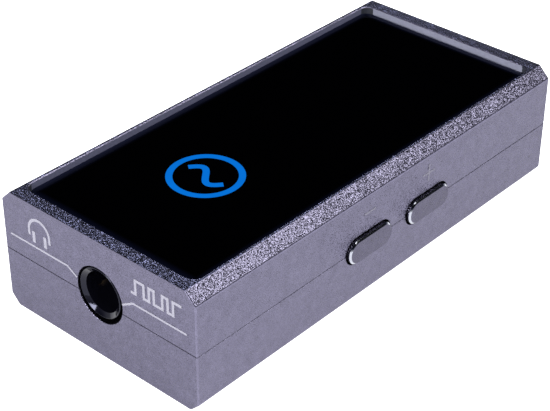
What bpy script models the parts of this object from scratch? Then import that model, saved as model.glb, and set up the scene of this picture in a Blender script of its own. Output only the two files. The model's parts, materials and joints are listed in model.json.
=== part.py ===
"""A pocket USB DAC and headphone amplifier in a two-part aluminium housing, with two volume buttons
and a lit symbol behind its cover glass.

Run it with: blender --background --python part.py, or from Blender's text editor.
Frame: the origin is the centre of the underside. +Z is up, -Y is the end with the headphone jack,
+Y the end with the USB socket, and +X the side with the volume buttons.
All the sizes below are in millimetres. MM turns them into Blender's metres.
"""

import math

import bmesh
import bpy
from mathutils import Matrix, Vector

MM = 0.001
MERGE = 1e-7  # points this close, in metres, are one point

# Housing
WIDTH = 23.0
LENGTH = 48.9
HEIGHT = 12.0
SPLIT = 5.93  # height of the line where the two shells meet
SPLIT_GAP = 0.08
TOP_CHAMFER_IN = 1.11
TOP_CHAMFER_DOWN = 1.06
FOOT_CHAMFER = 0.95
WALL = 1.4
FLOOR_TOP = 1.2
CEILING_BOTTOM = 9.4
INSIDE_CORNER = 0.3
LIP_TOP = 6.5
LIP_THICKNESS = 0.5
LIP_CLEARANCE = 0.05

# Recess for the cover glass, and the glass itself
RECESS_HALF_X = 10.17
RECESS_HALF_Y = 23.2
RECESS_CORNER = 1.05
RECESS_FLOOR = 10.42
GLASS_GAP = 0.12
GLASS_END_GAP = 0.35
GLASS_TOP = 11.4
GLASS_BOTTOM = 10.6
GLASS_BEVEL = 0.12
GASKET_WIDTH = 1.4
GASKET_GAP = 0.01

# Lit symbol: a window in the ceiling, and the light guide that fills it
SYMBOL_X = -0.5
SYMBOL_Y = -10.8
WINDOW_SIDE = 9.2
GUIDE_SIDE = 9.0
GUIDE_TOP = 10.37
GUIDE_BOTTOM = 9.0
GUIDE_LEG_WIDTH = 1.4
GUIDE_LEG_DEPTH = 3.4
LED_HEIGHT = 0.55

# Circuit board and the screws that hold it and the shells together
BOARD_BOTTOM = 3.25
BOARD_TOP = 4.25
BOARD_HALF_X = 9.9
BOARD_NEAR_Y = -22.6
BOARD_FAR_Y = 22.9
BOARD_CORNER = 0.5
SOLDER = 0.03  # clearance under a component
POST_X = 8.3
POST_Y = 21.1
POST_HALF = 1.6
POST_GAP = 0.05
SCREW_SHANK = 0.8
SCREW_HOLE = 0.9
SCREW_HEAD = 1.5
SCREW_HEAD_TOP = 0.05
SCREW_CONE_TOP = 0.8
SCREW_TIP = 8.0
SCREW_HOLE_TOP = 8.3
SCREW_SOCKET = 0.55
SCREW_SOCKET_DEPTH = 0.45

# Headphone jack, with an optical output behind it
JACK_X = 0.355
JACK_Z = 6.53
JACK_HOLE = 2.7
JACK_NOSE = 2.5
JACK_BORE = 1.8
JACK_MOUTH = 2.3
JACK_MOUTH_DEPTH = 0.4
JACK_FACE_Y = -24.35
JACK_BODY_Y = -22.9
JACK_BACK_Y = -10.5
JACK_HALF_X = 3.1
JACK_HALF_Z = 2.25
SPRING_THICKNESS = 0.2
SPRING_TOP = 7.1
SPRING_LENGTH = 3.6
EMITTER_HALF_X = 2.4
EMITTER_DEPTH = 3.5
EMITTER_TOP = 8.6
LENS_RADIUS = 1.2
LENS_LENGTH = 1.0

# USB-C socket
USB_WIDTH = 8.94
USB_HEIGHT = 3.16
USB_SHEET = 0.3
USB_HOLE_WIDTH = 9.3
USB_HOLE_HEIGHT = 3.5
USB_FACE_Y = 24.35
USB_BACK_Y = 17.0
USB_BASE_DEPTH = 1.6
USB_TONGUE_WIDTH = 6.69
USB_TONGUE_HEIGHT = 0.7
USB_TONGUE_TIP_Y = 23.6

# Volume buttons
BUTTONS = {"volume_down": -2.94, "volume_up": 5.4}
SLOT_LENGTH = 6.2
SLOT_HEIGHT = 2.7
CAP_GAP = 0.16
CAP_PROUD = 0.38
CAP_BEVEL = 0.2
FLANGE_LENGTH = 6.9
FLANGE_HEIGHT = 3.2
FLANGE_INNER_X = 9.4
FLANGE_OUTER_X = 10.0
SWITCH_FRONT_X = 8.3
SWITCH_BACK_X = 5.9
SWITCH_HALF_Y = 2.25
SWITCH_TOP = 7.6
SWITCH_WELL = 1.05
SWITCH_WELL_X = 6.8
PLUNGER_RADIUS = 0.95
PLUNGER_INNER_X = 7.47
DOME_RADIUS = 0.9
DOME_RISE = 0.33
DOME_THICKNESS = 0.12
CONTACT_GAP = 0.02

ROUND = 32  # sides of a turned piece
HALF_ROUND = 10  # steps of a half circle in an outline


def clear_scene():
    for obj in list(bpy.data.objects):
        bpy.data.objects.remove(obj, do_unlink=True)


def material(name, colour, roughness, metallic=0.0):
    """A plain Principled material; the colour is a linear RGB triple."""
    made = bpy.data.materials.new(name)
    made.use_nodes = True
    shader = made.node_tree.nodes["Principled BSDF"]
    shader.inputs["Base Color"].default_value = (*colour, 1.0)
    shader.inputs["Roughness"].default_value = roughness
    shader.inputs["Metallic"].default_value = metallic
    made.diffuse_color = (*colour, 1.0)
    return made


# Outlines: lists of points (u, v) that run once round a shape


def arc(centre, radius, start, end, steps):
    """Points of an arc between two angles in degrees, both ends included."""
    angles = [math.radians(start + (end - start) * i / steps) for i in range(steps + 1)]
    return [(centre[0] + radius * math.cos(a), centre[1] + radius * math.sin(a)) for a in angles]


def circle(centre, radius, sides=ROUND):
    return arc(centre, radius, 0, 360, sides)[:-1]


def rectangle(low_u, high_u, low_v, high_v):
    return [(low_u, low_v), (high_u, low_v), (high_u, high_v), (low_u, high_v)]


def rounded_rectangle(half_u, half_v, radius, steps=4):
    """A rectangle about the origin, with round corners."""
    points = []
    for turn, (side_u, side_v) in enumerate([(1, 1), (-1, 1), (-1, -1), (1, -1)]):
        centre = (side_u * (half_u - radius), side_v * (half_v - radius))
        points += arc(centre, radius, 90 * turn, 90 * turn + 90, steps)
    return points


def stadium(centre, length, height):
    """A slot outline, with its long side along u and full round ends."""
    radius = height / 2
    reach = length / 2 - radius
    right = arc((centre[0] + reach, centre[1]), radius, -90, 90, HALF_ROUND)
    left = arc((centre[0] - reach, centre[1]), radius, 90, 270, HALF_ROUND)
    return right + left


def strip(points, thickness):
    """The outline of a bent strip whose middle runs through the points."""
    sides = ([], [])
    for i, point in enumerate(points):
        before = Vector(points[max(i - 1, 0)])
        after = Vector(points[min(i + 1, len(points) - 1)])
        along = (after - before).normalized()
        across = Vector((-along.y, along.x)) * thickness / 2
        sides[0].append(tuple(Vector(point) + across))
        sides[1].append(tuple(Vector(point) - across))
    return sides[0] + sides[1][::-1]


# Solids


def link(name, bm, finish=None):
    """An object made from a bmesh whose faces are turned outwards."""
    bm.normal_update()
    bmesh.ops.recalc_face_normals(bm, faces=bm.faces)
    mesh = bpy.data.meshes.new(name)
    bm.to_mesh(mesh)
    bm.free()
    mesh.shade_smooth()
    mesh.set_sharp_from_angle(angle=math.radians(30))
    obj = bpy.data.objects.new(name, mesh)
    bpy.context.scene.collection.objects.link(obj)
    if finish:
        mesh.materials.append(finish)
    return obj


def loft(name, axis, sections, finish=None):
    """A solid through outlines of equal point counts, each given as (place along the axis, outline)."""
    bm = bmesh.new()
    rings = []
    for along, outline in sections:
        spots = {
            "X": [(along, u, v) for u, v in outline],
            "Y": [(u, along, v) for u, v in outline],
            "Z": [(u, v, along) for u, v in outline],
        }[axis]
        rings.append([bm.verts.new(Vector(spot) * MM) for spot in spots])
    bm.faces.new(rings[0])
    bm.faces.new(rings[-1][::-1])
    for ring, following in zip(rings, rings[1:]):
        for i in range(len(ring)):
            j = (i + 1) % len(ring)
            bm.faces.new((ring[i], ring[j], following[j], following[i]))
    return link(name, bm, finish)


def prism(name, axis, low, high, outline, finish=None):
    """A straight-sided solid with this outline, from low to high along the axis."""
    return loft(name, axis, [(low, outline), (high, outline)], finish)


def block(name, low, high, finish=None):
    """A box between two corners."""
    return prism(name, "Z", low[2], high[2], rectangle(low[0], high[0], low[1], high[1]), finish)


def turned(name, axis, centre, profile, finish=None, sides=ROUND):
    """A solid turned about the axis through the centre, from points (radius, place along the axis)."""
    bm = bmesh.new()
    verts = [bm.verts.new(Vector((radius, 0, along)) * MM) for radius, along in profile]
    edges = [bm.edges.new(pair) for pair in zip(verts, verts[1:])]
    around = {"cent": (0, 0, 0), "axis": (0, 0, 1), "angle": 2 * math.pi}
    bmesh.ops.spin(bm, geom=verts + edges, steps=sides, use_merge=True, **around)
    bmesh.ops.remove_doubles(bm, verts=bm.verts, dist=MERGE)
    turns = {
        "X": Matrix(((0, 0, 1), (1, 0, 0), (0, 1, 0))),
        "Y": Matrix(((0, 1, 0), (0, 0, 1), (1, 0, 0))),
        "Z": Matrix.Identity(3),
    }
    bm.transform(Matrix.Translation(Vector(centre) * MM) @ turns[axis].to_4x4())
    return link(name, bm, finish)


def combine(obj, operation, others):
    for other in others:
        step = obj.modifiers.new(f"{operation.lower()} {other.name}", "BOOLEAN")
        step.operation = operation
        step.object = other
        other.hide_render = True
        other.display_type = "WIRE"


def carve(obj, *cutters):
    combine(obj, "DIFFERENCE", cutters)


def join(obj, *pieces):
    combine(obj, "UNION", pieces)


# Housing


def corners():
    """Each corner's number and signs, counted from the jack end."""
    return list(enumerate([(-1, -1), (1, -1), (-1, 1), (1, 1)], start=1))


def openings():
    """Cutters for the holes that both shells share."""
    jack = prism("jack_hole", "Y", -LENGTH, -LENGTH / 2 + 2 * WALL, circle((JACK_X, JACK_Z), JACK_HOLE))
    usb_outline = stadium((0, SPLIT), USB_HOLE_WIDTH, USB_HOLE_HEIGHT)
    usb = prism("usb_hole", "Y", LENGTH / 2 - 2 * WALL, LENGTH, usb_outline)
    cutters = [jack, usb]
    for name, y in BUTTONS.items():
        slot = stadium((y, SPLIT), SLOT_LENGTH, SLOT_HEIGHT)
        cutters.append(prism(f"{name}_slot", "X", WIDTH / 2 - 2 * WALL, WIDTH, slot))
    return cutters


def screw_holes():
    """A countersunk hole at each corner, from the underside up into the upper shell's posts."""
    slope = (SCREW_HEAD - SCREW_SHANK) / (SCREW_CONE_TOP - SCREW_HEAD_TOP)
    mouth = SCREW_HOLE + slope * (SCREW_CONE_TOP + 1)
    profile = [(0, -1), (mouth, -1), (SCREW_HOLE, SCREW_CONE_TOP), (SCREW_HOLE, SCREW_HOLE_TOP)]
    profile.append((0, SCREW_HOLE_TOP))
    return [
        turned(f"screw_hole_{number}", "Z", (x * POST_X, y * POST_Y, 0), profile, sides=20)
        for number, (x, y) in corners()
    ]


def lower_shell(shared, holes, finish):
    half = WIDTH / 2
    top = SPLIT - SPLIT_GAP / 2
    section = [(half - FOOT_CHAMFER, 0), (half, FOOT_CHAMFER), (half, top)]
    section += [(-x, z) for x, z in reversed(section)]
    shell = prism("lower_shell", "Y", -LENGTH / 2, LENGTH / 2, section, finish)
    inner_x = half - WALL
    inner_y = LENGTH / 2 - WALL
    lip_outline = rounded_rectangle(inner_x + LIP_THICKNESS, inner_y + LIP_THICKNESS, INSIDE_CORNER)
    lip = prism("lower_shell_lip", "Z", FLOOR_TOP + 1, LIP_TOP, lip_outline)
    inside_outline = rounded_rectangle(inner_x, inner_y, INSIDE_CORNER)
    inside = prism("lower_shell_inside", "Z", FLOOR_TOP, HEIGHT, inside_outline)
    join(shell, lip)
    carve(shell, inside)
    for number, (x, y) in corners():
        reach_x = sorted((x * (POST_X - POST_HALF), x * (inner_x + WALL / 3)))
        reach_y = sorted((y * (POST_Y - POST_HALF), y * (inner_y + WALL / 3)))
        low = (reach_x[0], reach_y[0], FLOOR_TOP / 2)
        high = (reach_x[1], reach_y[1], BOARD_BOTTOM - POST_GAP)
        join(shell, block(f"lower_post_{number}", low, high))
    carve(shell, *holes, *shared)


def upper_shell(shared, holes, finish):
    half = WIDTH / 2
    section = [(half, SPLIT + SPLIT_GAP / 2), (half, HEIGHT - TOP_CHAMFER_DOWN)]
    section += [(half - TOP_CHAMFER_IN, HEIGHT)]
    section += [(-x, z) for x, z in reversed(section)]
    shell = prism("upper_shell", "Y", -LENGTH / 2, LENGTH / 2, section, finish)
    inner_x = half - WALL
    inner_y = LENGTH / 2 - WALL
    inside_outline = rounded_rectangle(inner_x, inner_y, INSIDE_CORNER)
    inside = prism("upper_shell_inside", "Z", 0, CEILING_BOTTOM, inside_outline)
    lip_room = LIP_THICKNESS + LIP_CLEARANCE
    rebate_outline = rounded_rectangle(inner_x + lip_room, inner_y + lip_room, INSIDE_CORNER)
    rebate = prism("upper_shell_rebate", "Z", 0, LIP_TOP + LIP_CLEARANCE, rebate_outline)
    recess_outline = rounded_rectangle(RECESS_HALF_X, RECESS_HALF_Y, RECESS_CORNER, 8)
    recess = prism("glass_recess", "Z", RECESS_FLOOR, HEIGHT + 1, recess_outline)
    side = WINDOW_SIDE / 2
    window_low = (SYMBOL_X - side, SYMBOL_Y - side, CEILING_BOTTOM - 1)
    window_high = (SYMBOL_X + side, SYMBOL_Y + side, RECESS_FLOOR + 1)
    carve(shell, inside, rebate, recess, block("symbol_window", window_low, window_high))
    for number, (x, y) in corners():
        # These posts hang from the ceiling and stay clear of the lower shell's walls
        reach_x = sorted((x * (POST_X - POST_HALF), x * (POST_X + POST_HALF)))
        reach_y = sorted((y * (POST_Y - POST_HALF), y * (POST_Y + POST_HALF)))
        low = (reach_x[0], reach_y[0], BOARD_TOP + POST_GAP)
        high = (reach_x[1], reach_y[1], (CEILING_BOTTOM + RECESS_FLOOR) / 2)
        join(shell, block(f"upper_post_{number}", low, high))
    carve(shell, *holes, *shared)


def cover_glass(finish):
    half_x = RECESS_HALF_X - GLASS_GAP
    half_y = RECESS_HALF_Y - GLASS_END_GAP
    radius = RECESS_CORNER - GLASS_GAP
    full = rounded_rectangle(half_x, half_y, radius, 6)
    inset = rounded_rectangle(half_x - GLASS_BEVEL, half_y - GLASS_BEVEL, radius - GLASS_BEVEL, 6)
    sections = [(GLASS_BOTTOM, full), (GLASS_TOP - GLASS_BEVEL, full), (GLASS_TOP, inset)]
    loft("cover_glass", "Z", sections, finish)


def glass_gasket(finish):
    low = RECESS_FLOOR + GASKET_GAP
    high = GLASS_BOTTOM - GASKET_GAP
    half_x = RECESS_HALF_X - 2 * GLASS_GAP
    half_y = RECESS_HALF_Y - GLASS_END_GAP - GLASS_GAP
    outer = rounded_rectangle(half_x, half_y, RECESS_CORNER)
    inner = rounded_rectangle(half_x - GASKET_WIDTH, half_y - GASKET_WIDTH, RECESS_CORNER)
    ring = prism("glass_gasket", "Z", low, high, outer, finish)
    carve(ring, prism("gasket_inside", "Z", low - 1, high + 1, inner))


def light_guide(finish):
    side = GUIDE_SIDE / 2
    low = (SYMBOL_X - side, SYMBOL_Y - side, GUIDE_BOTTOM)
    high = (SYMBOL_X + side, SYMBOL_Y + side, GUIDE_TOP)
    plate = block("light_guide", low, high, finish)
    leg_bottom = BOARD_TOP + SOLDER + LED_HEIGHT + SPLIT_GAP
    leg_low = (low[0], SYMBOL_Y - GUIDE_LEG_DEPTH / 2, leg_bottom)
    leg_high = (low[0] + GUIDE_LEG_WIDTH, SYMBOL_Y + GUIDE_LEG_DEPTH / 2, GUIDE_BOTTOM + 0.5)
    join(plate, block("light_guide_leg", leg_low, leg_high))


def housing_screw(number, place, finish):
    profile = [(0, SCREW_HEAD_TOP), (SCREW_HEAD, SCREW_HEAD_TOP), (SCREW_SHANK, SCREW_CONE_TOP - 0.05)]
    profile += [(SCREW_SHANK, SCREW_TIP - 0.3), (SCREW_SHANK - 0.3, SCREW_TIP), (0, SCREW_TIP)]
    centre = (place[0] * POST_X, place[1] * POST_Y, 0)
    screw = turned(f"housing_screw_{number}", "Z", centre, profile, finish, sides=20)
    socket_outline = circle(centre[:2], SCREW_SOCKET, sides=6)
    depth = SCREW_HEAD_TOP + SCREW_SOCKET_DEPTH
    carve(screw, prism(f"screw_socket_{number}", "Z", -1, depth, socket_outline))


# Circuit board and what is soldered to it


def circuit_board(holes, finish):
    middle = (BOARD_NEAR_Y + BOARD_FAR_Y) / 2
    half_y = (BOARD_FAR_Y - BOARD_NEAR_Y) / 2
    outline = [(x, y + middle) for x, y in rounded_rectangle(BOARD_HALF_X, half_y, BOARD_CORNER)]
    board = prism("circuit_board", "Z", BOARD_BOTTOM, BOARD_TOP, outline, finish)
    carve(board, *holes)


def component(name, centre, size, finish, bevel=0.1):
    """A soldered component: a block on the board, with its top edge bevelled."""
    x, y = centre
    half_x, half_y = size[0] / 2, size[1] / 2
    low = BOARD_TOP + SOLDER
    high = low + size[2]
    full = rectangle(x - half_x, x + half_x, y - half_y, y + half_y)
    half_x -= bevel
    half_y -= bevel
    inset = rectangle(x - half_x, x + half_x, y - half_y, y + half_y)
    loft(name, "Z", [(low, full), (high - bevel, full), (high, inset)], finish)


def electronics(finishes):
    plastic, metal, tantalum = finishes["chip_plastic"], finishes["steel"], finishes["tantalum"]
    component("dac_chip", (-2.2, -1.5), (5.0, 5.0, 0.85), plastic)
    component("headphone_amplifier_chip", (-6.4, -15.6), (4.0, 4.0, 0.8), plastic)
    component("usb_bridge_chip", (-2.4, 9.4), (6.0, 6.0, 0.9), plastic)
    component("clock_oscillator_44k", (3.2, -3.3), (3.2, 2.5, 1.0), metal)
    component("clock_oscillator_48k", (3.2, 0.2), (3.2, 2.5, 1.0), metal)
    component("power_inductor", (-7.2, 14.6), (4.0, 4.0, 2.0), finishes["ferrite"], 0.25)
    component("regulator_analog", (3.2, 4.4), (2.9, 1.6, 1.1), plastic)
    component("regulator_digital", (3.2, 8.0), (2.9, 1.6, 1.1), plastic)
    component("usb_surge_protector", (3.2, 13.6), (2.6, 1.6, 0.9), plastic)
    component("output_capacitor_left", (6.4, -9.0), (3.5, 2.8, 1.9), tantalum, 0.2)
    component("output_capacitor_right", (6.4, -13.2), (3.5, 2.8, 1.9), tantalum, 0.2)
    component("supply_capacitor_analog", (-7.6, -4.6), (2.8, 3.5, 1.9), tantalum, 0.2)
    component("supply_capacitor_digital", (-7.6, 5.2), (2.8, 3.5, 1.9), tantalum, 0.2)
    led_x = SYMBOL_X - (GUIDE_SIDE - GUIDE_LEG_WIDTH) / 2
    component("symbol_led", (led_x, SYMBOL_Y), (0.8, 1.6, LED_HEIGHT), finishes["led"], 0.05)


def thermal_pad(finish):
    low = (-6.5, -6.0, FLOOR_TOP + CONTACT_GAP)
    high = (3.5, 13.0, BOARD_BOTTOM - CONTACT_GAP)
    block("thermal_pad", low, high, finish)


# Headphone jack and optical output


def jack_housing(finish):
    low = (JACK_X - JACK_HALF_X, JACK_BODY_Y, BOARD_TOP + SOLDER)
    high = (JACK_X + JACK_HALF_X, JACK_BACK_Y, JACK_Z + JACK_HALF_Z)
    housing = block("jack_housing", low, high, finish)
    nose_end = (JACK_BODY_Y + BOARD_NEAR_Y - SOLDER) / 2  # inside the block, and clear of the board
    nose_profile = [(0, JACK_FACE_Y), (JACK_NOSE - 0.1, JACK_FACE_Y), (JACK_NOSE, JACK_FACE_Y + 0.1)]
    nose_profile += [(JACK_NOSE, nose_end), (0, nose_end)]
    nose = turned("jack_nose", "Y", (JACK_X, 0, JACK_Z), nose_profile)
    flare = (JACK_MOUTH - JACK_BORE) / JACK_MOUTH_DEPTH
    bore_profile = [(0, JACK_FACE_Y - 1), (JACK_MOUTH + flare, JACK_FACE_Y - 1)]
    bore_profile += [(JACK_BORE, JACK_FACE_Y + JACK_MOUTH_DEPTH), (JACK_BORE, JACK_BACK_Y + 1)]
    bore_profile += [(0, JACK_BACK_Y + 1)]
    bore = turned("jack_bore", "Y", (JACK_X, 0, JACK_Z), bore_profile)
    join(housing, nose)
    carve(housing, bore)
    return housing


def jack_spring(housing, name, side, near_y, finish):
    """A leaf contact on one side of the bore (side is -1 or 1), in a window open towards the board."""
    reach = [(2.75, 0.25), (2.75, 0.9), (1.6, 2.6), (2.0, SPRING_LENGTH - 0.2)]
    points = [(JACK_X + side * out, near_y + along) for out, along in reach]
    outline = strip(points, SPRING_THICKNESS)
    prism(name, "Z", BOARD_TOP + SOLDER, SPRING_TOP, outline, finish)
    edges = sorted((JACK_X + side * 1.2, JACK_X + side * (JACK_HALF_X + 0.5)))
    low = (edges[0], near_y, BOARD_TOP - 0.5)
    high = (edges[1], near_y + SPRING_LENGTH, SPRING_TOP + 0.15)
    carve(housing, block(f"{name}_window", low, high))


def optical_output(finishes):
    near_y = JACK_BACK_Y + 0.1
    low = (JACK_X - EMITTER_HALF_X, near_y, BOARD_TOP + SOLDER)
    high = (JACK_X + EMITTER_HALF_X, near_y + EMITTER_DEPTH, EMITTER_TOP)
    block("optical_emitter", low, high, finishes["chip_plastic"])
    base_y = JACK_BACK_Y - 0.05
    dome = arc((0, 0), 1, -90, 0, 6)
    profile = [(LENS_RADIUS * u, base_y - LENS_LENGTH * (0.4 - 0.6 * v)) for u, v in dome]
    profile += [(LENS_RADIUS, base_y), (0, base_y)]
    turned("optical_lens", "Y", (JACK_X, 0, JACK_Z), profile, finishes["clear_plastic"], sides=20)


# USB socket


def usb_socket(finishes):
    centre = (0, SPLIT)
    outer = stadium(centre, USB_WIDTH, USB_HEIGHT)
    inner = stadium(centre, USB_WIDTH - 2 * USB_SHEET, USB_HEIGHT - 2 * USB_SHEET)
    shell = prism("usb_socket_shell", "Y", USB_BACK_Y, USB_FACE_Y, outer, finishes["steel"])
    carve(shell, prism("usb_socket_inside", "Y", USB_BACK_Y - 1, USB_FACE_Y + 1, inner))
    room = 2 * (USB_SHEET + CONTACT_GAP)
    base = stadium(centre, USB_WIDTH - room, USB_HEIGHT - room)
    tongue = stadium(centre, USB_TONGUE_WIDTH, USB_TONGUE_HEIGHT)
    tip = stadium(centre, USB_TONGUE_WIDTH - 0.3, USB_TONGUE_HEIGHT - 0.3)
    base_y = USB_BACK_Y + USB_BASE_DEPTH
    sections = [(USB_BACK_Y + 0.1, base), (base_y, base), (base_y, tongue)]
    sections += [(USB_TONGUE_TIP_Y - 0.3, tongue), (USB_TONGUE_TIP_Y, tip)]
    loft("usb_socket_tongue", "Y", sections, finishes["chip_plastic"])


# Volume buttons: everything under the empty moves, and the switch body stays on the board


def button_cap(name, centre, finish):
    length = SLOT_LENGTH - 2 * CAP_GAP
    height = SLOT_HEIGHT - 2 * CAP_GAP
    flange = stadium(centre, FLANGE_LENGTH, FLANGE_HEIGHT)
    stem = stadium(centre, length, height)
    face = WIDTH / 2 + CAP_PROUD
    sections = [(FLANGE_INNER_X, flange), (FLANGE_OUTER_X, flange), (FLANGE_OUTER_X, stem)]
    for angle in (0, 30, 60, 90):
        back = CAP_BEVEL * (1 - math.sin(math.radians(angle)))
        inset = 2 * CAP_BEVEL * (1 - math.cos(math.radians(angle)))
        sections.append((face - back, stadium(centre, length - inset, height - inset)))
    return loft(f"{name}_cap", "X", sections, finish)


def switch_dome(name, centre, finish):
    """A shallow snap dome, a little thicker than the real sheet."""
    crown = PLUNGER_INNER_X - CONTACT_GAP
    curve = [(0, 0), (0.35, 0.1), (0.7, 0.42), (1, 1)]  # fractions of the radius and of the rise
    outside = [(DOME_RADIUS * u, crown - DOME_RISE * v) for u, v in curve]
    inside = [(DOME_RADIUS * u, crown - DOME_RISE * v - DOME_THICKNESS) for u, v in reversed(curve)]
    return turned(f"{name}_dome", "X", (0, *centre), outside + inside, finish, sides=20)


def volume_button(name, y, finishes):
    centre = (y, SPLIT)
    low = (SWITCH_BACK_X, y - SWITCH_HALF_Y, BOARD_TOP + SOLDER)
    high = (SWITCH_FRONT_X, y + SWITCH_HALF_Y, SWITCH_TOP)
    switch = block(f"{name}_switch", low, high, finishes["chip_plastic"])
    well_outline = circle(centre, SWITCH_WELL, sides=20)
    well = prism(f"{name}_switch_well", "X", SWITCH_WELL_X, SWITCH_FRONT_X + 1, well_outline)
    carve(switch, well)
    stem_outline = circle(centre, PLUNGER_RADIUS, sides=20)
    stem_end = FLANGE_INNER_X - CONTACT_GAP
    plunger = prism(f"{name}_plunger", "X", PLUNGER_INNER_X, stem_end, stem_outline, finishes["plunger"])
    slide = bpy.data.objects.new(f"{name}_slide", None)
    slide.location = Vector((WIDTH / 2, y, SPLIT)) * MM
    bpy.context.scene.collection.objects.link(slide)
    cap = button_cap(name, centre, finishes["button_metal"])
    dome = switch_dome(name, centre, finishes["steel"])
    for piece in (cap, plunger, dome):
        piece.parent = slide
        piece.matrix_parent_inverse = Matrix.Translation(slide.location).inverted()


def main():
    clear_scene()
    finishes = {
        "body_metal": material("body_metal", (0.26, 0.25, 0.32), 0.42, 0.85),
        "button_metal": material("button_metal", (0.22, 0.21, 0.27), 0.4, 0.85),
        "glass": material("glass", (0.004, 0.004, 0.005), 0.05),
        "gasket_foam": material("gasket_foam", (0.02, 0.02, 0.02), 0.9),
        "clear_plastic": material("clear_plastic", (0.7, 0.78, 0.85), 0.15),
        "board": material("board", (0.02, 0.06, 0.04), 0.45),
        "chip_plastic": material("chip_plastic", (0.015, 0.015, 0.017), 0.4),
        "steel": material("steel", (0.6, 0.6, 0.6), 0.25, 1.0),
        "tantalum": material("tantalum", (0.6, 0.4, 0.05), 0.45),
        "ferrite": material("ferrite", (0.05, 0.05, 0.055), 0.7),
        "led": material("led", (0.8, 0.8, 0.7), 0.3),
        "plunger": material("plunger", (0.03, 0.03, 0.03), 0.5),
        "thermal_gel": material("thermal_gel", (0.25, 0.3, 0.4), 0.8),
        "gold": material("gold", (0.8, 0.55, 0.2), 0.3, 1.0),
    }
    shared = openings()
    holes = screw_holes()
    lower_shell(shared, holes, finishes["body_metal"])
    upper_shell(shared, holes, finishes["body_metal"])
    cover_glass(finishes["glass"])
    glass_gasket(finishes["gasket_foam"])
    light_guide(finishes["clear_plastic"])
    for number, place in corners():
        housing_screw(number, place, finishes["steel"])
    circuit_board(holes, finishes["board"])
    electronics(finishes)
    thermal_pad(finishes["thermal_gel"])
    jack = jack_housing(finishes["chip_plastic"])
    jack_spring(jack, "jack_tip_spring", -1, -16.0, finishes["gold"])
    jack_spring(jack, "jack_ring_spring", -1, -20.4, finishes["gold"])
    jack_spring(jack, "jack_sleeve_spring", 1, -21.6, finishes["gold"])
    optical_output(finishes)
    usb_socket(finishes)
    for name, y in BUTTONS.items():
        volume_button(name, y, finishes)


main()
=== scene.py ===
"""The looks of a pocket USB DAC: its bead-blasted shells, cover glass, lit symbol, buttons, jack and sockets,
in a plain white studio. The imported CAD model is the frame, and every place and size comes from it.

Sizes are in millimetres unless a comment says otherwise. MM turns them into Blender's metres.
"""

import json
import math

import bmesh
import bpy
from mathutils import Matrix, Vector

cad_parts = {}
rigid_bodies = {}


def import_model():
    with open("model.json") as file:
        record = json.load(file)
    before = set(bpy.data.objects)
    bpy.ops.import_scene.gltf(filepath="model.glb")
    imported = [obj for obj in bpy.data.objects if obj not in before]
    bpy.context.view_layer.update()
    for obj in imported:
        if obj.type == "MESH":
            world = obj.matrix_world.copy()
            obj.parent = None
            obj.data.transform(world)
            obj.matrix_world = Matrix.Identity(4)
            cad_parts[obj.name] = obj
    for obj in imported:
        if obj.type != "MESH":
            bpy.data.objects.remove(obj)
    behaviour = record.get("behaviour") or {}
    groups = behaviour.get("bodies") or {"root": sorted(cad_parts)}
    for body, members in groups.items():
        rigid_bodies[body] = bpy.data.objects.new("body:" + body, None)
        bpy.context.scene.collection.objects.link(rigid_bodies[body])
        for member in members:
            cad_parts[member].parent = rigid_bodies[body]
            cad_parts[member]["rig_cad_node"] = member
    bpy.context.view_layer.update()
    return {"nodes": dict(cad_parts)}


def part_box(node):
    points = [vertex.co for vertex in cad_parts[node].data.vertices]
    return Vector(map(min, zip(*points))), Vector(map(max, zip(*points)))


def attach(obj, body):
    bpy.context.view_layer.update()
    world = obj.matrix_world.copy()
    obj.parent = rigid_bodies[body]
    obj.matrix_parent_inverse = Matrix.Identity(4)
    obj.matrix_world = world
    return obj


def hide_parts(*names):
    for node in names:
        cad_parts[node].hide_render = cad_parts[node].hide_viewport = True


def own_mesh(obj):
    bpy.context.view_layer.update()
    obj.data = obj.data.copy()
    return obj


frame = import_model()

MM = 0.001
HOUSING = "housing"

# Details that the nodes' boxes don't give
TOP_CHAMFER_IN = 1.11
TOP_CHAMFER_DOWN = 1.06
FOOT_CHAMFER = 0.95
WALL = 1.4
FLOOR_TOP = 1.2
CEILING_BOTTOM = 9.4
RECESS_CORNER = 1.05
RECESS_GAP = 0.1
RECESS_END_GAP = 0.35
SLOT_LENGTH = 6.2
SLOT_HEIGHT = 2.7
SLOT_GAP = 0.16
JACK_HOLE = 2.7
JACK_NOSE = 2.42
JACK_SHIFT = (-0.1, 0.08)  # the jack sits a little off the middle of its hole
JACK_MOUTH = 2.3
JACK_THROAT = 1.93
JACK_BORE = 1.8
JACK_MOUTH_DEPTH = 0.27
JACK_BODY_Y = -22.9  # front face of the body behind the nose
USB_CLEARANCE = 0.18
USB_SHEET = 0.3
USB_FOLD = 0.1
USB_TONGUE_HALF = 0.35
USB_PAD_PITCH = 0.5
USB_PADS = 12  # on each side of the tongue
USB_LONG_PADS = (0, 3, 8, 11)
SCREW_HEAD_TOP = 0.05
SCREW_CONE_TOP = 0.8
SCREW_HOLE = 0.9

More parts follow.
